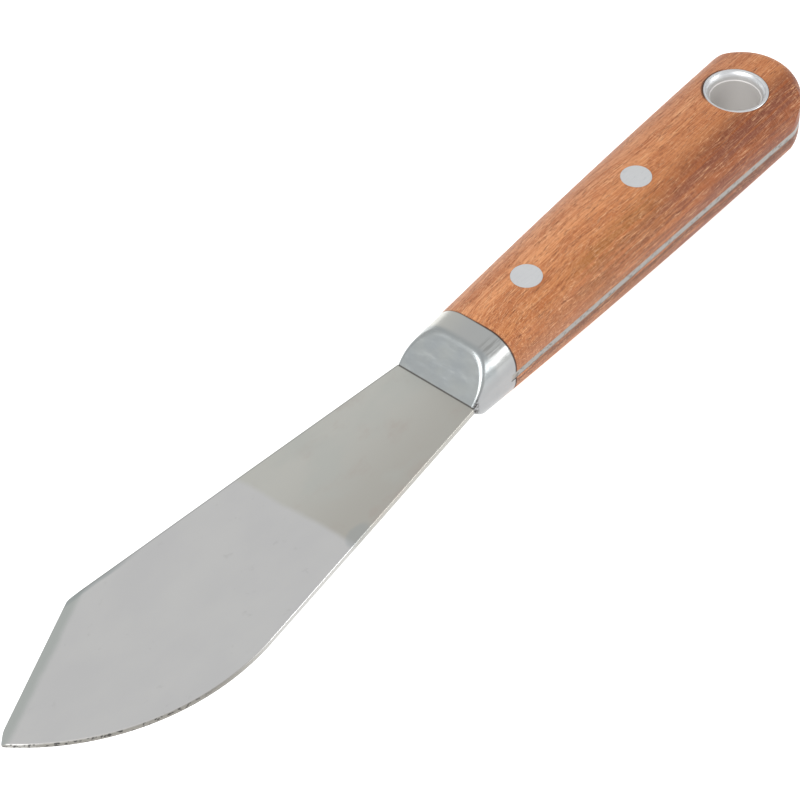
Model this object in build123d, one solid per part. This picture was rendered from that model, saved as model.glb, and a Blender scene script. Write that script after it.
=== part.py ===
"""Riveted clip-point filling knife.

A full-tang steel blade, a cast metal bolster, two hardwood scales, two two-part rivets
and a tubular hanging eyelet.

The pieces are drawn in millimetres in a working frame: X = 0 is the line where the blade
leaves the bolster, +X runs to the blade tip, +Y to the curved side of the blade, +Z up, and
Z = 0 is the middle of the steel sheet.  They are then moved, without turning, so that the
part's origin is under the middle of the whole knife, at its lowest level.
"""
import os
from math import cos, radians, sin, sqrt, tan

from build123d import *
from OCP.BRepFilletAPI import BRepFilletAPI_MakeFillet

# ---- driving dimensions ----------------------------------------------------------------
# steel sheet: blade, neck and full tang in one piece, ground thinner towards the tip
sheet = 1.5
tip_sheet = 1.0
grind_x = 40.5
tip_x = 113.0
clip_shoulder_y = -9.5
belly_shoulder_y = 9.68
clip_side_flare = 6.4
belly_side_flare = 5.8
clip_corner_x = 82.3
clip_corner_radius = 2.5
working_edge_angle = 22.6
belly_start_x = 66.2
tip_relief_length = 3.1
tip_relief_angle = 38.0
tip_relief_radius = 6.0
tip_radius = 0.4
bevel_width = 2.2
bevel_angle = 10.0
edge_break = 0.35

# neck of the sheet, held inside the bolster by two cast pegs
neck_half_width = 7.4
key_hole_radius = 1.5
key_hole_x = -5.6
key_hole_y = 4.2

# handle: plan outline, crown and rounded edges
seam_x = -12.7
seam_gap = 0.12
seam_half_width = 9.82
half_width_growth = 0.026
butt_x = -113.1
butt_arc_radius = 12.6
butt_corner_radius = 6.0
peak_x = -65.0
peak_height = 9.18
crown_length_radius = 1400.0
crown_width_radius = 100.0
edge_round = 6.6
upper_butt_round = 3.4
lower_butt_round = 6.2

# bolster
ridge_x = -6.9
ridge_round = 2.2
bolster_edge_round = 0.7
notch_length = 1.3
notch_clearance = 0.2

# rivets, two-part: a solid male pin pressed into a tubular female
rivet_x = {"front": -28.3, "rear": -63.9}
rivet_head_radius = 3.2
rivet_head_depth = 1.8
barrel_radius = 2.3
barrel_end_z = 5.2
pin_radius = 1.6
pin_end_z = -4.6
barrel_floor = 0.4

# hanging eyelet: a tube with a flared, stepped rim at each end
eyelet_x = -97.9
eyelet_y = 0.25
eyelet_bore_radius = 5.25
eyelet_wall = 0.5
eyelet_rim_radius = 6.8
eyelet_rim_z = 8.72
eyelet_rim_thickness = 0.55
eyelet_flare_depth = 2.0
eyelet_seat_gap = 0.1

# gap between a pin or head and its hole
fit_gap = 0.03

# ---- derived sizes and helpers ----------------------------------------------------------
half_sheet = sheet / 2
half_tip_sheet = tip_sheet / 2
tube_radius = eyelet_bore_radius + eyelet_wall
clip_corner = (clip_corner_x, clip_shoulder_y - tan(radians(clip_side_flare)) * clip_corner_x)

# a length beyond any piece, for cutting tools
far = 40.0


def half_width(x):
    """Half width of the handle at X, in plan."""
    return seam_half_width + half_width_growth * (seam_x - x)


def crown_z(x):
    """Height of the handle's crown line above the middle of the sheet, at X."""
    return peak_height - (x - peak_x) ** 2 / (2 * crown_length_radius)


def ground_z(x):
    """Height of the blade's face above the middle of the sheet, beyond the grind line."""
    return half_sheet + (half_tip_sheet - half_sheet) * (x - grind_x) / (tip_x - grind_x)


def along(point, angle, distance):
    """Point reached from point at angle degrees from +X."""
    return (point[0] + distance * cos(radians(angle)), point[1] + distance * sin(radians(angle)))


def rod(x, y, radius, z_from, z_to):
    """Upright cylinder."""
    return Pos(x, y, (z_from + z_to) / 2) * Cylinder(radius, z_to - z_from)


def bar(x_from, x_to, half_wide, z_from, z_to):
    """Block centred on the knife's long axis."""
    size = (x_to - x_from, 2 * half_wide, z_to - z_from)
    return Pos((x_from + x_to) / 2, 0, (z_from + z_to) / 2) * Box(*size)


def side_prism(points):
    """Outline drawn as X and Z pairs, extruded across the whole width."""
    return extrude(Plane.XZ * make_face(Polyline(*points, close=True)), far, both=True)


def under_side(piece):
    """The same piece mirrored to the other side of the sheet."""
    return mirror(piece, Plane.XY)


# ---- handle blank: the outer form that the bolster and scales share ---------------------
def handle_outline(front_x):
    """Plan face of the handle from front_x back to the arced butt with rounded corners."""
    arc_depth = butt_arc_radius - sqrt(butt_arc_radius**2 - half_width(butt_x) ** 2)
    side_end_x = butt_x + arc_depth
    front_left = (front_x, -half_width(front_x))
    back_left = (side_end_x, -half_width(side_end_x))
    back_right = (side_end_x, half_width(side_end_x))
    front_right = (front_x, half_width(front_x))
    face = make_face([
        Line(front_left, back_left),
        ThreePointArc(back_left, (butt_x, 0), back_right),
        Line(back_right, front_right),
        Line(front_right, front_left),
    ])
    corners = face.vertices().sort_by(Axis.X)[:2]
    return fillet(corners, butt_corner_radius)


def crown_solid():
    """Solid under a surface that is crowned along and across the handle."""
    sweep_half_angle = 5.0
    reach = 16.0
    base_z = -12.0
    edge_z = peak_height - (crown_width_radius - sqrt(crown_width_radius**2 - reach**2))
    section = Pos(peak_x, 0, 0) * (Plane.YZ * make_face([
        ThreePointArc((-reach, edge_z), (0, peak_height), (reach, edge_z)),
        Line((reach, edge_z), (reach, base_z)),
        Line((reach, base_z), (-reach, base_z)),
        Line((-reach, base_z), (-reach, edge_z)),
    ]))
    axis = Axis((peak_x, 0, peak_height - crown_length_radius), (0, 1, 0))
    return revolve(section.rotate(axis, -sweep_half_angle), axis, 2 * sweep_half_angle)


def half_blank(butt_round):
    """Upper half of the handle form, with butt_round as the edge radius round its butt."""
    front_x = 4.0
    beyond_x = butt_x - 20
    rough_height = 12.0
    crown = crown_solid()

    sides = make_face(Polyline(
        (front_x, -half_width(front_x)), (beyond_x, -half_width(beyond_x)),
        (beyond_x, half_width(beyond_x)), (front_x, half_width(front_x)), close=True))
    long_form = extrude(sides, rough_height) & crown
    long_edges = long_form.faces().sort_by(Axis.Z)[-1].edges().filter_by(
        lambda edge: abs(edge.center().Y) > seam_half_width / 2)
    long_form = fillet(long_edges, edge_round)

    butt_form = extrude(handle_outline(front_x), rough_height) & crown
    rim_edges = butt_form.faces().sort_by(Axis.Z)[-1].edges().filter_by(
        lambda edge: edge.center().X < front_x - 1)
    return long_form & fillet(rim_edges, butt_round)


# ---- blade ------------------------------------------------------------------------------
def blade_outline():
    """Plan face of the blade: clipped corner on the -Y side, curved belly on the +Y side."""
    relief_x = tip_x - tip_relief_length * cos(radians(tip_relief_angle))
    edge_length = (relief_x - clip_corner_x) / cos(radians(working_edge_angle))
    relief = along(clip_corner, working_edge_angle, edge_length)
    tip = along(relief, tip_relief_angle, tip_relief_length)
    belly_start = (belly_start_x, belly_shoulder_y + tan(radians(belly_side_flare)) * belly_start_x)
    face = make_face([
        Line((0, clip_shoulder_y), clip_corner),
        Line(clip_corner, relief),
        Line(relief, tip),
        TangentArc(belly_start, tip, tangent=along((0, 0), belly_side_flare, 1.0)),
        Line(belly_start, (0, belly_shoulder_y)),
        Line((0, belly_shoulder_y), (0, clip_shoulder_y)),
    ])
    face = fillet(face.vertices().sort_by_distance((*relief, 0))[:1], tip_relief_radius)
    face = fillet(face.vertices().sort_by_distance((*clip_corner, 0))[:1], clip_corner_radius)
    return fillet(face.vertices().sort_by_distance((*tip, 0))[:1], tip_radius)


def working_bevel():
    """Wedge that bevels the upper side of the straight working edge."""
    overrun = 1.0
    lead_in = 8.0
    length = 50.0
    start = along(clip_corner, working_edge_angle, -lead_in)
    top_z = ground_z((clip_corner_x + tip_x) / 2)
    drop = tan(radians(bevel_angle)) * (bevel_width + overrun)
    inward = along((0, 0), working_edge_angle + 90, 1.0)
    forward = along((0, 0), working_edge_angle, 1.0)
    plane = Plane(origin=(*start, 0), x_dir=(*inward, 0), z_dir=(*forward, 0))
    up = plane.y_dir.Z
    wedge = make_face(Polyline(
        (bevel_width, up * top_z),
        (-overrun, up * (top_z - drop)),
        (-overrun, up * (top_z + overrun)),
        (bevel_width, up * (top_z + overrun)),
        close=True,
    ))
    return extrude(plane * wedge, length)


def blade():
    """Blade, neck and full tang cut from one sheet, thinned from the grind line to the tip."""
    front = extrude(blade_outline(), half_sheet, both=True)
    front &= side_prism([
        (-1, half_sheet), (grind_x, half_sheet), (tip_x, half_tip_sheet),
        (tip_x, -half_tip_sheet), (grind_x, -half_sheet), (-1, -half_sheet)])
    belly_edges = front.edges().filter_by(
        lambda edge: edge.center().Y > 1 and abs(edge.center().Z) > 0.1 and edge.length > 20)
    front = fillet(belly_edges, edge_break)
    wedge = working_bevel()
    front = front - wedge - under_side(wedge)

    neck = bar(seam_x, 1, neck_half_width, -half_sheet, half_sheet)
    tang = extrude(handle_outline(seam_x + notch_length), half_sheet, both=True)
    body = front + neck + tang
    for side in (-1, 1):
        body -= rod(key_hole_x, side * key_hole_y, key_hole_radius, -far, far)
    for x in rivet_x.values():
        body -= rod(x, 0, barrel_radius + fit_gap, -far, far)
    return body - rod(eyelet_x, eyelet_y, tube_radius + fit_gap, -far, far)


# ---- bolster ----------------------------------------------------------------------------
def bolster(blank):
    """Collar cast round the neck: raked front faces above and below, keyed through the neck."""
    nose_z = half_sheet
    slope = -ridge_x / (crown_z(ridge_x) - nose_z)
    top_z = peak_height + 6
    half = blank & side_prism([
        (seam_x, 0), (0, 0), (0, nose_z), (-slope * (top_z - nose_z), top_z), (seam_x, top_z)])
    whole = half + under_side(half)
    front_border = whole.edges().filter_by(
        lambda edge: edge.center().X > ridge_x - 0.3
        and not is_nose_line(edge)
        and not is_side_line(edge))
    whole = round_front_border(whole, front_border)

    slot = bar(seam_x - 1, 1, neck_half_width, -half_sheet, half_sheet)
    for side in (-1, 1):
        slot -= rod(key_hole_x, side * key_hole_y, key_hole_radius, -half_sheet, half_sheet)
    notch = bar(seam_x - 1, seam_x + notch_length, far, -half_sheet - notch_clearance, half_sheet)
    return whole - slot - notch


def round_front_border(solid, border):
    """Round the border of the raked faces: broadly along the ridge, closely down the sides."""
    maker = BRepFilletAPI_MakeFillet(solid.wrapped)
    for edge in border:
        maker.Add(bolster_edge_round, edge.wrapped)
    for contour in range(1, maker.NbContours() + 1):
        for number in range(1, maker.NbEdges(contour) + 1):
            for end in Edge(maker.Edge(contour, number)).vertices():
                on_ridge = abs(end.Z) > crown_z(ridge_x) - 0.5
                radius = ridge_round if on_ridge else bolster_edge_round
                maker.SetRadius(radius, contour, end.wrapped)
    return Part(maker.Shape())


def is_nose_line(edge):
    """True for the lines across the bolster where a raked face meets its upright nose."""
    return edge.center().X > -0.01 and edge.length > neck_half_width


def is_side_line(edge):
    """True for the smooth lines where a side wall runs into a rounded long edge."""
    return abs(edge.center().Z) < 2 and edge.center().X < -3 and edge.length > 5


# ---- wooden scales ----------------------------------------------------------------------
def upper_scale(blank):
    """Hardwood scale above the tang, with stepped rivet holes and a flared eyelet hole."""
    scale = blank & bar(butt_x - far, seam_x - seam_gap, far, half_sheet, far)
    for x in rivet_x.values():
        scale -= rod(x, 0, barrel_radius + fit_gap, 0, far)
        scale -= rod(x, 0, rivet_head_radius + fit_gap, crown_z(x) - rivet_head_depth, far)
    return scale - eyelet_hole()


def eyelet_hole():
    """Hole for the upper half of the eyelet, flared to take its rim."""
    seat_z = eyelet_rim_z - eyelet_rim_thickness
    throat_z = eyelet_rim_z - eyelet_flare_depth
    tube_hole = tube_radius + fit_gap
    rim_hole = eyelet_rim_radius + eyelet_seat_gap
    section = Plane.XZ * make_face(Polyline(
        (0, 0), (tube_hole, 0), (tube_hole, throat_z - eyelet_seat_gap),
        (rim_hole, seat_z - eyelet_seat_gap), (rim_hole, far), (0, far), close=True))
    return Pos(eyelet_x, eyelet_y, 0) * revolve(section, Axis.Z, 360)


# ---- rivets -----------------------------------------------------------------------------
def rivet(x, blank):
    """Male and female halves of one rivet, their heads dressed flush with the wood."""
    seat_z = crown_z(x) - rivet_head_depth
    head = blank & rod(x, 0, rivet_head_radius, seat_z, far)
    male = head + rod(x, 0, pin_radius, pin_end_z, seat_z)
    barrel = rod(x, 0, barrel_radius, -seat_z, barrel_end_z)
    bore = rod(x, 0, pin_radius + fit_gap, pin_end_z - barrel_floor, far)
    female = under_side(head) + (barrel - bore)
    return {"male": male, "female": female}


# ---- eyelet -----------------------------------------------------------------------------
def hanging_eyelet():
    """Tube through the butt: a small lip at each throat, a hollow flare and a stepped rim."""
    throat_z = eyelet_rim_z - eyelet_flare_depth
    lip = (eyelet_bore_radius + 0.2, throat_z + 0.15)
    flare_foot = (eyelet_bore_radius + 0.25, throat_z + 0.45)
    flare_middle = (eyelet_bore_radius + 0.5, eyelet_rim_z - 0.85)
    flare_top = (eyelet_rim_radius - 0.62, eyelet_rim_z - 0.3)
    step_top = (eyelet_rim_radius - 0.5, eyelet_rim_z - 0.04)
    rim_crest = (eyelet_rim_radius - 0.22, eyelet_rim_z)
    rim_edge = (eyelet_rim_radius, eyelet_rim_z - 0.15)
    rim_under = (eyelet_rim_radius, eyelet_rim_z - eyelet_rim_thickness)
    section = Plane.XZ * make_face([
        Line((eyelet_bore_radius, 0), (eyelet_bore_radius, throat_z)),
        Line((eyelet_bore_radius, throat_z), lip),
        Line(lip, flare_foot),
        ThreePointArc(flare_foot, flare_middle, flare_top),
        Line(flare_top, step_top),
        ThreePointArc(step_top, rim_crest, rim_edge),
        Line(rim_edge, rim_under),
        Line(rim_under, (tube_radius, throat_z)),
        Line((tube_radius, throat_z), (tube_radius, 0)),
        Line((tube_radius, 0), (eyelet_bore_radius, 0)),
    ])
    upper = revolve(section, Axis.Z, 360)
    return Pos(eyelet_x, eyelet_y, 0) * (upper + under_side(upper))


# ---- assembly ---------------------------------------------------------------------------
def build():
    """All pieces by node name, in the working frame."""
    blank = half_blank(upper_butt_round)
    pieces = {
        "blade": blade(),
        "bolster": bolster(blank),
        "upper_scale": upper_scale(blank),
        "lower_scale": under_side(upper_scale(half_blank(lower_butt_round))),
        "hanging_eyelet": hanging_eyelet(),
    }
    for place, x in rivet_x.items():
        for half, piece in rivet(x, blank).items():
            pieces[f"{place}_rivet_{half}"] = piece
    return pieces


def part_origin(pieces):
    """Point of the working frame that becomes the part's origin: under the knife's middle."""
    boxes = [piece.bounding_box() for piece in pieces.values()]
    middle_x = (min(box.min.X for box in boxes) + max(box.max.X for box in boxes)) / 2
    middle_y = (min(box.min.Y for box in boxes) + max(box.max.Y for box in boxes)) / 2
    return (middle_x, middle_y, min(box.min.Z for box in boxes))


if __name__ == "__main__":
    os.makedirs("parts", exist_ok=True)
    knife = build()
    origin = part_origin(knife)
    print("origin in the working frame:", [round(value, 4) for value in origin])
    for name, piece in knife.items():
        placed = Pos(-origin[0], -origin[1], -origin[2]) * piece
        export_step(placed, f"parts/{name}.step")
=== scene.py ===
"""Looks of the riveted filling knife: materials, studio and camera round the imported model."""

import math

import bpy
from mathutils import Matrix, Vector


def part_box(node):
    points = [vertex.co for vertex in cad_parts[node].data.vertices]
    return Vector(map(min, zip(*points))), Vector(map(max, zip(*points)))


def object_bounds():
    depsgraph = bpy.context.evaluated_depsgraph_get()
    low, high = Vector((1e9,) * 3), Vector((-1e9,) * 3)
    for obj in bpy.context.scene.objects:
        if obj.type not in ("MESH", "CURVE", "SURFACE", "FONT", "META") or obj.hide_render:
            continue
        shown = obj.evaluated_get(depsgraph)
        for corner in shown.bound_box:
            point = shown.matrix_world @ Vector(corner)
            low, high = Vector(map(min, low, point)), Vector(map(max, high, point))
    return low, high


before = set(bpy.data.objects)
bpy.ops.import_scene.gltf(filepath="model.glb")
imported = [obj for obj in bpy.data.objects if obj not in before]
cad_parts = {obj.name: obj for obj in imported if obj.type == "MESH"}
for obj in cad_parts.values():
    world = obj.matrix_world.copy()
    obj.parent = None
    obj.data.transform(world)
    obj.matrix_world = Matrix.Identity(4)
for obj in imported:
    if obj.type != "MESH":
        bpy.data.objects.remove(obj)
cad_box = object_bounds()

MM = 0.001

# The working origin: the middle of the sheet where the blade leaves the bolster.
blade_line_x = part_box("bolster")[1].x
axis_y = sum(corner.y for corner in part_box("bolster")) / 2
sheet_z = sum(corner.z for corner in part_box("blade")) / 2

# Places on the knife, in millimetres from the working origin, and directions in degrees.
EYELET = (-97.9, 0.25)
EYELET_HOLE_RADIUS = 7.05
EYELET_WALL_RADII = (5.2, 5.9)
GAP_WIDTH = 0.4
GRIND_LINE = (39.6, 41.4)
CLIP_CORNER = (82.3, -18.73)
WORKING_EDGE_ANGLE = 22.6
CLIP_SHOULDER = (0.0, -9.5)
CLIP_SIDE_ANGLE = -6.4
BELLY_PATCH = (37.6, 9.3)
BELLY_PATCH_SIZE = (3.4, 1.9)
BELLY_SLOPE = 0.1
CAMERA_AIM = (6.37, -3.44)

# Where each soft boundary starts and ends along X.
WOOD_START = (-13.1, -12.85)
BOLSTER_REAR = (-12.62, -12.45)
BOLSTER_NOSE = (-0.2, -0.06)
TANG_START = (-11.9, -11.2)


# ---- node-tree helper --------------------------------------------------------------------
class Shader:
    """Builds one material's node tree, with coordinates in millimetres from the working origin."""

    def __init__(self, name):
        self.material = bpy.data.materials.new(name)
        self.material.use_nodes = True
        self.tree = self.material.node_tree
        self.tree.nodes.clear()
        self.output = self.add("ShaderNodeOutputMaterial")
        self.bsdf = self.add("ShaderNodeBsdfPrincipled")
        self.tree.links.new(self.bsdf.outputs[0], self.output.inputs["Surface"])
        place = self.add("ShaderNodeTexCoord").outputs["Object"]
        shifted = self.vector("SUBTRACT", place, (blade_line_x, axis_y, sheet_z))
        self.mm = self.vector("SCALE", shifted, scale=1 / MM)
        self.x, self.y, self.z = self.add("ShaderNodeSeparateXYZ", Vector=self.mm).outputs

    def add(self, kind, settings=None, **inputs):
        node = self.tree.nodes.new(kind)
        for key, value in (settings or {}).items():
            setattr(node, key, value)
        for key, value in inputs.items():
            self.feed(node.inputs[key.replace("_", " ")], value)
        return node

    def feed(self, socket, value):
        if isinstance(value, bpy.types.NodeSocket):
            self.tree.links.new(value, socket)
        else:
            socket.default_value = value

    def vector(self, operation, a, b=None, scale=None):
        node = self.add("ShaderNodeVectorMath", {"operation": operation})
        self.feed(node.inputs[0], a)
        if b is not None:
            self.feed(node.inputs[1], b)
        if scale is not None:
            self.feed(node.inputs["Scale"], scale)
        return node.outputs[0]

    def math(self, operation, a, b=0.0):
        node = self.add("ShaderNodeMath", {"operation": operation})
        self.feed(node.inputs[0], a)
        self.feed(node.inputs[1], b)
        return node.outputs[0]

    def product(self, first, *others):
        for other in others:
            first = self.math("MULTIPLY", first, other)
        return first

    def away_from(self, value, centre):
        """Absolute difference between value and centre."""
        return self.math("ABSOLUTE", self.math("SUBTRACT", value, centre))

    def thin_line(self, noise, core, edge, strength):
        """Strength along the middle contour of a noise, fading out from core to edge."""
        return self.ramp(self.away_from(noise, 0.5), core, edge, strength, 0.0)

    def plan_radius(self, centre):
        """Distance in plan from centre."""
        across = self.combine(self.math("SUBTRACT", self.x, centre[0]),
                              self.math("SUBTRACT", self.y, centre[1]), 0.0)
        length = self.add("ShaderNodeVectorMath", {"operation": "LENGTH"}, Vector=across)
        return length.outputs["Value"]

    def joint_shade(self):
        """How strong the painted shade in the joint between bolster and wood is, more so towards
        +Y.
        """
        return self.ramp(self.y, -7.0, 6.0, 0.25, 1.0)

    def distance_inside(self, start, angle):
        """Distance in plan from the line through start at angle, positive on its +Y side."""
        a = math.radians(angle)
        return self.total((-math.sin(a), self.math("SUBTRACT", self.x, start[0])),
                          (math.cos(a), self.math("SUBTRACT", self.y, start[1])))

    def combine(self, x, y, z):
        return self.add("ShaderNodeCombineXYZ", X=x, Y=y, Z=z).outputs[0]

    def stretched(self, scale, offset=(0, 0, 0), of=None):
        """Coordinates moved by offset, then scaled per axis."""
        moved = self.vector("ADD", of or self.mm, offset)
        return self.vector("MULTIPLY", moved, scale)

    def noise(self, vector, detail=4.0, roughness=0.55):
        return self.add("ShaderNodeTexNoise", Vector=vector, Scale=1.0, Detail=detail,
                        Roughness=roughness).outputs[0]

    def ramp(self, value, low, high, out_low=0.0, out_high=1.0):
        return self.add("ShaderNodeMapRange", {"interpolation_type": "SMOOTHSTEP"}, Value=value,
                        From_Min=low, From_Max=high, To_Min=out_low, To_Max=out_high).outputs[0]

    def mix(self, factor, a, b):
        node = self.add("ShaderNodeMix", {"data_type": "RGBA"})
        self.feed(node.inputs[0], factor)
        self.feed(node.inputs[6], a)
        self.feed(node.inputs[7], b)
        return node.outputs[2]

    def total(self, *terms):
        """Sum of (weight, value) terms."""
        result = 0.0
        for weight, value in terms:
            node = self.add("ShaderNodeMath", {"operation": "MULTIPLY_ADD"})
            for socket, item in zip(node.inputs, (value, weight, result)):
                self.feed(socket, item)
            result = node.outputs[0]
        return result

    def bump(self, height, strength, distance):
        return self.add("ShaderNodeBump", Strength=strength, Distance=distance,
                        Height=height).outputs[0]

    def finish(self, **inputs):
        for key, value in inputs.items():
            self.feed(self.bsdf.inputs[key.replace("_", " ")], value)
        return self.material


def rgb(r, g, b):
    """Colour given as 0 to 255 display values, turned into the linear values that shaders use."""
    def linear(c):
        c /= 255
        return c / 12.92 if c <= 0.04045 else ((c + 0.055) / 1.055) ** 2.4
    return (linear(r), linear(g), linear(b), 1.0)


# ---- wood --------------------------------------------------------------------------------
def handle_wood(name, seed):
    """Orange-brown hardwood with its grain along the handle, darker towards the +Y side partly by
    painted shade, with a painted sheen on the -Y side and painted shade in the seams.
    """
    s = Shader(name)
    offset = (seed * 37.0, seed * 11.0, seed * 5.0)

    # The grain runs along the handle, and leans towards +Y near the bolster.
    front = s.math("MAXIMUM", s.math("ADD", s.x, 45.0), 0.0)
    lean = s.product(front, front, -0.0014)
    sway = s.math("SUBTRACT", s.noise(s.stretched((0.02, 0.06, 0.06), offset), detail=2.0), 0.5)
    bent = s.vector("ADD", s.mm, s.combine(0.0, s.total((1.0, lean), (6.0, sway)),
                                           s.math("MULTIPLY", sway, 4.0)))

    bands = s.noise(s.stretched((0.010, 0.2, 0.2), offset, bent), detail=2.0)
    streaks = s.noise(s.stretched((0.040, 1.1, 1.1), offset, bent), detail=3.0, roughness=0.6)
    lines = s.noise(s.stretched((0.06, 3.6, 3.6), offset, bent), detail=3.0, roughness=0.65)
    grit = s.noise(s.stretched((0.8, 5.5, 5.5), offset, bent), detail=2.0)
    pores = s.noise(s.stretched((0.5, 6.0, 6.0), (seed * 3.0, 91.0, 7.0), bent), detail=1.0)
    sanding = s.noise(s.vector("MULTIPLY", s.combine(s.total((1.0, s.x), (0.12, s.y)), s.y, s.z),
                               (4.5, 0.35, 0.35)), detail=2.0)
    hair = s.noise(s.stretched((0.07, 2.0, 2.0), (seed * 21.0, 71.0, 3.0), bent), detail=2.0)
    vein = s.noise(s.stretched((0.06, 1.5, 1.5), (seed * 6.0, 131.0, 29.0), bent), detail=3.0)
    breaks = s.noise(s.stretched((0.25, 0.9, 0.9), (5.0, seed * 41.0, 0.0), bent), detail=1.0)
    broken = s.ramp(breaks, 0.45, 0.6)
    flecks = s.noise(s.stretched((0.35, 6.5, 6.5), (seed * 9.0, 17.0, 53.0), bent), detail=1.0)
    scratches = s.noise(s.vector("MULTIPLY", s.combine(s.total((1.0, s.x), (0.45, s.y)),
                                                       s.total((1.0, s.y), (-0.45, s.x)), s.z),
                                 (0.12, 2.6, 2.6)), detail=2.0)

    # Base colour from the far side (-Y) to the near side (+Y): a pinkish painted sheen on the far
    # side, and a darker near side that is partly the wood's own tone and partly painted shade.
    towards_butt = s.ramp(s.x, -95.0, -30.0, 1.0, 0.0)
    far = s.mix(s.ramp(s.y, -9.0, 0.0), rgb(206, 152, 118), rgb(208, 143, 96))
    base = s.mix(s.ramp(s.y, -1.0, 8.0), far, rgb(185, 122, 75))
    base = s.mix(s.math("MULTIPLY", towards_butt, 0.38), base, rgb(166, 100, 56))
    near_butt = s.product(s.ramp(s.x, -90.0, -50.0, 1.0, 0.0), s.ramp(s.y, 1.0, 8.0, 0.0, 0.9))
    base = s.mix(near_butt, base, rgb(120, 64, 32))
    tone = s.total((0.22, bands), (0.30, streaks), (0.40, lines), (0.08, sanding))
    colour = s.mix(s.ramp(tone, 0.43, 0.57, 0.62, 0.0), base, rgb(148, 78, 40))
    colour = s.mix(s.ramp(grit, 0.35, 0.65, 0.18, 0.0), colour, rgb(120, 62, 38))

    # Yellow-brown band between the rivets on the near side.
    between = s.product(s.ramp(s.x, -40.0, -30.0, 1.0, 0.0), s.ramp(s.x, -66.0, -58.0))
    olive = s.product(between, s.ramp(s.y, 3.0, 6.5), s.ramp(streaks, 0.40, 0.54, 0.0, 0.6))
    colour = s.mix(olive, colour, rgb(142, 92, 46))

    # Darker heartwood streaks along the near side and towards the butt; just below the tang,
    # streaks of painted shade.
    near_side = s.total((1.0, s.ramp(s.y, 3.0, 10.0)), (0.6, towards_butt))
    heart = s.math("MULTIPLY", s.ramp(s.total((0.5, bands), (0.5, streaks)), 0.45, 0.55),
                   s.ramp(near_side, 0.5, 1.5, 0.0, 0.85))
    colour = s.mix(heart, colour, rgb(118, 66, 48))
    # Painted shade in streaks on the lower scale just below the tang.
    painted_shade_below_tang = s.product(s.ramp(s.z, -4.2, -1.6), s.ramp(streaks, 0.36, 0.52),
                           s.ramp(s.z, -0.9, -0.5, 0.85, 0.0))
    colour = s.mix(painted_shade_below_tang, colour, rgb(96, 58, 42))

    # Pores, thin dark and pale lines of the grain, pale fibre ends and sanding scratches.
    dark_line = s.thin_line(vein, 0.004, 0.022, 0.75)
    colour = s.mix(s.math("MULTIPLY", dark_line, broken), colour, rgb(96, 50, 30))
    pale_line = s.thin_line(hair, 0.004, 0.02, 0.55)
    colour = s.mix(s.math("MULTIPLY", pale_line, broken), colour, rgb(232, 180, 134))
    colour = s.mix(s.ramp(pores, 0.58, 0.66, 0.0, 0.5), colour, rgb(96, 50, 32))
    colour = s.mix(s.ramp(sanding, 0.54, 0.70, 0.0, 0.13), colour, rgb(228, 172, 132))
    colour = s.mix(s.ramp(flecks, 0.60, 0.72, 0.0, 0.3), colour, rgb(226, 176, 136))
    scratch = s.product(s.thin_line(scratches, 0.003, 0.016, 0.45),
                        s.ramp(s.x, -70.0, -20.0, 0.35, 1.0))
    colour = s.mix(scratch, colour, rgb(230, 178, 134))

    # Shadowed gap beside the eyelet, on its -Y side and a little towards the bolster.
    gap_side = s.total((-1.0, s.math("SUBTRACT", s.y, EYELET[1])),
                       (0.3, s.math("SUBTRACT", s.x, EYELET[0])))
    gap_ring = s.ramp(s.plan_radius(EYELET), EYELET_HOLE_RADIUS, EYELET_HOLE_RADIUS + GAP_WIDTH,
                      0.85, 0.0)
    gap = s.product(gap_ring, s.ramp(gap_side, 3.8, 6.0))
    colour = s.mix(gap, colour, rgb(60, 34, 24))

    # Painted shade in the seam behind the bolster.
    painted_seam_shade = s.product(s.ramp(s.x, *WOOD_START, 0.0, 0.85), s.joint_shade())
    colour = s.mix(painted_seam_shade, colour, rgb(74, 46, 34))

    height = s.total((1.0, lines), (0.5, grit), (-1.2, s.ramp(pores, 0.58, 0.7)))
    return s.finish(Base_Color=colour, Roughness=s.ramp(streaks, 0.3, 0.7, 0.44, 0.56),
                    Specular_IOR_Level=0.25, Normal=s.bump(height, 0.16, 0.05 * MM))


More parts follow.
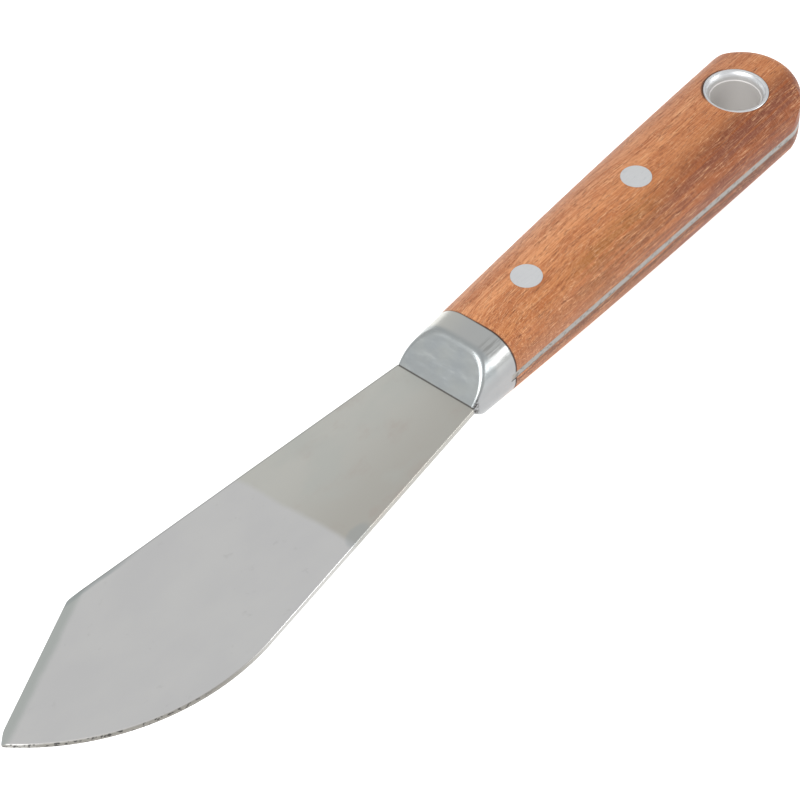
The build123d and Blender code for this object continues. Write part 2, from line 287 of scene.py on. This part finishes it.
# ---- metals ------------------------------------------------------------------------------
def blade_steel():
    """Ground steel: satin behind the grind line, polished in front of it."""
    s = Shader("blade_steel")
    wander = s.math("SUBTRACT", s.noise(s.stretched((0.12, 0.12, 0.12)), detail=3.0), 0.5)
    cloud = s.noise(s.stretched((0.05, 0.09, 0.09)), detail=3.0)
    stain = s.noise(s.stretched((0.10, 0.16, 0.16), (40.0, 3.0, 0.0)), detail=4.0, roughness=0.6)
    brushing = s.noise(s.stretched((0.15, 5.0, 5.0)), detail=3.0, roughness=0.7)
    speck = s.noise(s.stretched((0.35, 0.5, 0.5), (11.0, 23.0, 0.0)), detail=3.0, roughness=0.6)
    nick = s.noise(s.stretched((0.9, 1.6, 1.6), (5.0, 61.0, 0.0)), detail=2.0)

    line = s.total((1.0, s.x), (0.07, s.y), (1.6, wander))
    polished = s.ramp(line, *GRIND_LINE)
    # The satin steel grows darker towards +Y: painted shade.
    satin = s.mix(s.ramp(s.y, -9.0, 12.0), rgb(201, 201, 195), rgb(187, 185, 178))
    satin = s.mix(s.ramp(stain, 0.50, 0.70, 0.0, 0.35), satin, rgb(184, 171, 163))
    satin = s.mix(s.ramp(cloud, 0.5, 0.7, 0.0, 0.5), satin, rgb(192, 195, 190))
    bright = s.mix(s.ramp(cloud, 0.3, 0.7), rgb(206, 206, 206), rgb(210, 210, 209))
    bright = s.mix(s.ramp(speck, 0.63, 0.76, 0.0, 0.16), bright, rgb(160, 160, 156))
    colour = s.mix(polished, satin, bright)

    # Bluish patch where the grind line meets the belly side.
    from_belly = s.total((1.0, s.y), (-BELLY_SLOPE, s.x))
    dx = s.math("DIVIDE", s.math("SUBTRACT", s.x, BELLY_PATCH[0]), BELLY_PATCH_SIZE[0])
    dy = s.math("DIVIDE", s.math("SUBTRACT", from_belly, BELLY_PATCH[1]),
                BELLY_PATCH_SIZE[1])
    patch = s.total((1.0, s.product(dx, dx)), (1.0, s.product(dy, dy)), (3.0, wander))
    colour = s.mix(s.ramp(patch, 0.4, 1.4, 0.5, 0.0), colour, rgb(166, 172, 173))

    # Bevelled working edge, and the sliver ground along the clip side behind the corner.
    bevel = s.total((1.0, s.distance_inside(CLIP_CORNER, WORKING_EDGE_ANGLE)), (1.2, wander))
    colour = s.mix(s.ramp(bevel, 1.2, 2.9, 0.75, 0.0), colour, rgb(178, 184, 180))
    clip_side = s.distance_inside(CLIP_SHOULDER, CLIP_SIDE_ANGLE)
    sliver_width = s.total((1.0, clip_side), (0.8, wander))
    sliver = s.product(s.ramp(sliver_width, 0.6, 1.3, 1.0, 0.0), s.ramp(s.x, 64.0, 74.0, 0.0, 0.6))
    colour = s.mix(sliver, colour, rgb(160, 168, 168))
    border = s.product(s.ramp(clip_side, 0.25, 0.6, 0.55, 0.0), s.ramp(s.x, 78.0, 82.0, 1.0, 0.0))
    colour = s.mix(border, colour, rgb(140, 140, 138))

    # Sheared sides of the sheet, with small nicks near the tip; the tang between the scales.
    normal = s.add("ShaderNodeTexCoord").outputs["Normal"]
    up_or_down = s.math("ABSOLUTE", s.add("ShaderNodeSeparateXYZ", Vector=normal).outputs[2])
    side = s.ramp(up_or_down, 0.35, 0.75, 1.0, 0.0)
    colour = s.mix(s.math("MULTIPLY", side, 0.7), colour, rgb(150, 148, 143))
    nicks = s.product(s.ramp(nick, 0.55, 0.62, 0.0, 0.8), s.ramp(s.x, 78.0, 90.0),
                      s.ramp(up_or_down, 0.80, 0.97, 1.0, 0.0))
    tip_side = s.product(s.ramp(up_or_down, 0.90, 0.99, 1.0, 0.0), s.ramp(s.x, 62.0, 80.0),
                         s.ramp(s.x, 108.0, 111.0, 1.0, 0.5))
    colour = s.mix(s.math("MULTIPLY", tip_side, 0.8), colour, rgb(136, 133, 126))
    colour = s.mix(nicks, colour, rgb(50, 48, 50))
    tang = s.ramp(s.x, *TANG_START, 1.0, 0.0)
    tang_colour = s.mix(s.ramp(nick, 0.54, 0.66, 0.0, 0.7), rgb(144, 142, 138), rgb(92, 88, 82))
    # Lower edge of the tang darker: painted shade where it meets the lower scale.
    tang_colour = s.mix(s.ramp(s.z, -0.75, -0.45, 0.6, 0.0), tang_colour, rgb(84, 80, 76))
    colour = s.mix(tang, colour, tang_colour)

    # Shadowed joint at the bolster.
    joint = s.product(s.ramp(s.x, 0.05, 0.28, 0.7, 0.0), s.ramp(s.x, -1.0, -0.5))
    colour = s.mix(joint, colour, rgb(58, 52, 46))
    roughness = s.total((1.0, s.ramp(polished, 0.0, 1.0, 0.36, 0.3)), (0.3, tip_side))
    return s.finish(Base_Color=colour, Metallic=1.0, Roughness=roughness,
                    Normal=s.bump(brushing, 0.04, 0.01 * MM))


def bolster_metal():
    """Cast and polished collar: mottled raked face, streaky rounded edges with painted dark
    reflections, painted shade on the side walls and joints, small casting pits.
    """
    s = Shader("bolster_metal")
    cloud = s.noise(s.stretched((0.22, 0.22, 0.22)), detail=4.0)
    smudge = s.noise(s.stretched((0.9, 0.35, 0.9), (7.0, 0.0, 0.0)), detail=4.0, roughness=0.6)
    streak = s.noise(s.stretched((0.12, 2.2, 2.2)), detail=3.0, roughness=0.6)
    pit = s.noise(s.stretched((2.4, 2.4, 2.4), (0.0, 31.0, 0.0)), detail=2.0)

    face = s.mix(s.ramp(cloud, 0.3, 0.7), rgb(163, 168, 170), rgb(170, 174, 173))
    face = s.mix(s.ramp(smudge, 0.56, 0.8, 0.0, 0.2), face, rgb(204, 206, 204))
    top = s.mix(s.ramp(s.y, -8.0, 1.0), rgb(198, 198, 192), rgb(184, 186, 185))
    in_front = s.ramp(s.x, -8.6, -7.2)
    colour = s.mix(in_front, top, face)

    # Dark streaks along the rounded top edge towards +Y: painted reflection of darker surroundings.
    dark_reflection_streaks = s.product(s.ramp(s.y, 3.4, 5.2), s.ramp(in_front, 0.0, 1.0, 1.0, 0.0),
                             s.ramp(streak, 0.46, 0.62, 0.0, 0.5), s.ramp(s.y, 8.0, 9.2, 1.0, 0.0))
    colour = s.mix(dark_reflection_streaks, colour, rgb(132, 132, 130))
    # Darker bands on both side walls: painted shade, standing in on the +Y side for the shadowed
    # floor that the wall reflects.
    colour = s.mix(s.ramp(s.y, 8.6, 9.6, 0.0, 0.9), colour, rgb(148, 149, 150))
    colour = s.mix(s.ramp(s.y, -11.0, -9.4, 0.6, 0.0), colour, rgb(150, 150, 147))
    pits = s.product(s.ramp(pit, 0.46, 0.54, 0.0, 0.95), s.ramp(s.x, -2.2, -0.9),
                     s.ramp(s.y, 8.9, 9.5))
    colour = s.mix(pits, colour, rgb(58, 54, 52))

    # Painted shade along the joints with the blade and the wood.
    painted_nose_shade = s.product(s.ramp(s.x, *BOLSTER_NOSE),
                     s.ramp(s.math("ABSOLUTE", s.z), 0.9, 1.15, 0.8, 0.0))
    colour = s.mix(painted_nose_shade, colour, rgb(64, 58, 52))
    painted_seam_shade = s.product(s.ramp(s.x, *BOLSTER_REAR, 0.8, 0.0), s.joint_shade())
    colour = s.mix(painted_seam_shade, colour, rgb(70, 60, 54))
    height = s.total((1.0, streak), (-1.0, pits))
    return s.finish(Base_Color=colour, Metallic=1.0, Roughness=s.ramp(smudge, 0.4, 0.7, 0.30, 0.36),
                    Normal=s.bump(height, 0.06, 0.05 * MM))


def rivet_metal():
    """Satin rivet heads, sanded along with the wood."""
    s = Shader("rivet_metal")
    sanding = s.noise(s.stretched((0.4, 5.0, 5.0)), detail=3.0)
    scuff = s.noise(s.stretched((0.7, 1.4, 1.4)), detail=4.0)
    colour = s.mix(sanding, rgb(212, 214, 216), rgb(225, 226, 227))
    colour = s.mix(s.ramp(scuff, 0.55, 0.72, 0.0, 0.4), colour, rgb(200, 202, 204))
    return s.finish(Base_Color=colour, Metallic=1.0, Roughness=s.ramp(scuff, 0.3, 0.7, 0.46, 0.56),
                    Normal=s.bump(sanding, 0.1, 0.02 * MM))


def eyelet_metal():
    """Bright pressed aluminium with a dull inside wall."""
    s = Shader("eyelet_metal")
    radius = s.plan_radius(EYELET)
    cloud = s.noise(s.stretched((0.5, 0.5, 0.5)), detail=3.0)
    profile = s.combine(s.math("MULTIPLY", radius, 4.0), s.math("MULTIPLY", s.z, 4.0), 0.0)
    rings = s.noise(profile, detail=2.0)
    colour = s.mix(cloud, rgb(218, 220, 222), rgb(230, 231, 232))
    colour = s.mix(s.ramp(rings, 0.48, 0.64, 0.0, 0.45), colour, rgb(176, 181, 185))
    wall = s.ramp(radius, *EYELET_WALL_RADII, 1.0, 0.0)
    colour = s.mix(wall, colour, rgb(203, 200, 197))
    return s.finish(Base_Color=colour, Metallic=s.ramp(wall, 0.0, 1.0, 1.0, 0.35),
                    Roughness=s.ramp(wall, 0.0, 1.0, 0.38, 0.6))


def assign(node, material):
    """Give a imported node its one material."""
    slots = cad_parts[node].data.materials
    slots.clear()
    slots.append(material)


# ---- materials on the pieces -------------------------------------------------------------
assign("blade", blade_steel())
assign("bolster", bolster_metal())
assign("upper_scale", handle_wood("handle_wood_upper", 1.0))
assign("lower_scale", handle_wood("handle_wood_lower", 2.0))
shared_rivet_metal = rivet_metal()
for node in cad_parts:
    if "rivet" in node:
        assign(node, shared_rivet_metal)
assign("hanging_eyelet", eyelet_metal())


# ---- floor, light and camera -------------------------------------------------------------
def make_floor():
    """Wide white floor, slightly luminous so that it keeps an even white under the knife."""
    half = 3.0
    corners = [(-half, -half, 0), (half, -half, 0), (half, half, 0), (-half, half, 0)]
    mesh = bpy.data.meshes.new("floor")
    mesh.from_pydata(corners, [], [(0, 1, 2, 3)])
    floor = bpy.data.objects.new("floor", mesh)
    floor.location.z = cad_box[0].z
    bpy.context.scene.collection.objects.link(floor)
    material = bpy.data.materials.new("floor_white")
    material.use_nodes = True
    shader = material.node_tree.nodes["Principled BSDF"]
    shader.inputs["Base Color"].default_value = (0.6, 0.6, 0.6, 1.0)
    shader.inputs["Roughness"].default_value = 0.95
    shader.inputs["Specular IOR Level"].default_value = 0.1
    shader.inputs["Emission Color"].default_value = (1, 1, 1, 1)
    shader.inputs["Emission Strength"].default_value = 0.85
    mesh.materials.append(material)


def softbox(name, towards, distance, size, power):
    """Area light in the direction towards, aimed at the knife."""
    back = Vector(towards).normalized()
    light = bpy.data.lights.new(name, "AREA")
    light.shape = "RECTANGLE"
    light.size, light.size_y = size
    light.energy = power
    lamp = bpy.data.objects.new(name, light)
    lamp.location = back * distance
    lamp.rotation_mode = "QUATERNION"
    lamp.rotation_quaternion = (-back).to_track_quat("-Z", "Y")
    bpy.context.scene.collection.objects.link(lamp)


def make_world(strength):
    world = bpy.data.worlds.new("studio")
    world.use_nodes = True
    background = world.node_tree.nodes["Background"]
    background.inputs["Color"].default_value = (1, 1, 1, 1)
    background.inputs["Strength"].default_value = strength
    bpy.context.scene.world = world


def make_camera():
    """Camera given by its angles, its distance and the point of the knife that it aims at."""
    azimuth, elevation, roll = (math.radians(v) for v in (131.07, 47.05, -1.80))
    distance = 587.4 * MM
    target = Vector((blade_line_x + CAMERA_AIM[0] * MM, axis_y + CAMERA_AIM[1] * MM, sheet_z))
    back = Vector((math.sin(azimuth) * math.cos(elevation),
                   -math.cos(azimuth) * math.cos(elevation), math.sin(elevation)))
    right = Vector((math.cos(azimuth), math.sin(azimuth), 0))
    up = back.cross(right)
    rolled_right = right * math.cos(roll) + up * math.sin(roll)
    rolled_up = up * math.cos(roll) - right * math.sin(roll)
    data = bpy.data.cameras.new("camera")
    data.lens = 138.0
    data.sensor_width = 36.0
    camera = bpy.data.objects.new("camera", data)
    turn = Matrix((rolled_right, rolled_up, back)).transposed()
    camera.matrix_world = Matrix.Translation(target + back * distance) @ turn.to_4x4()
    bpy.context.scene.collection.objects.link(camera)
    bpy.context.scene.camera = camera


make_floor()
make_world(strength=0.78)
softbox("fill", towards=(0.62, 0.1, 0.85), distance=1.4, size=(0.9, 0.9), power=12)
softbox("edge", towards=(-0.51, 0.73, 0.45), distance=1.2, size=(0.4, 0.4), power=2.2)
make_camera()
bpy.context.scene.view_settings.view_transform = "Standard"
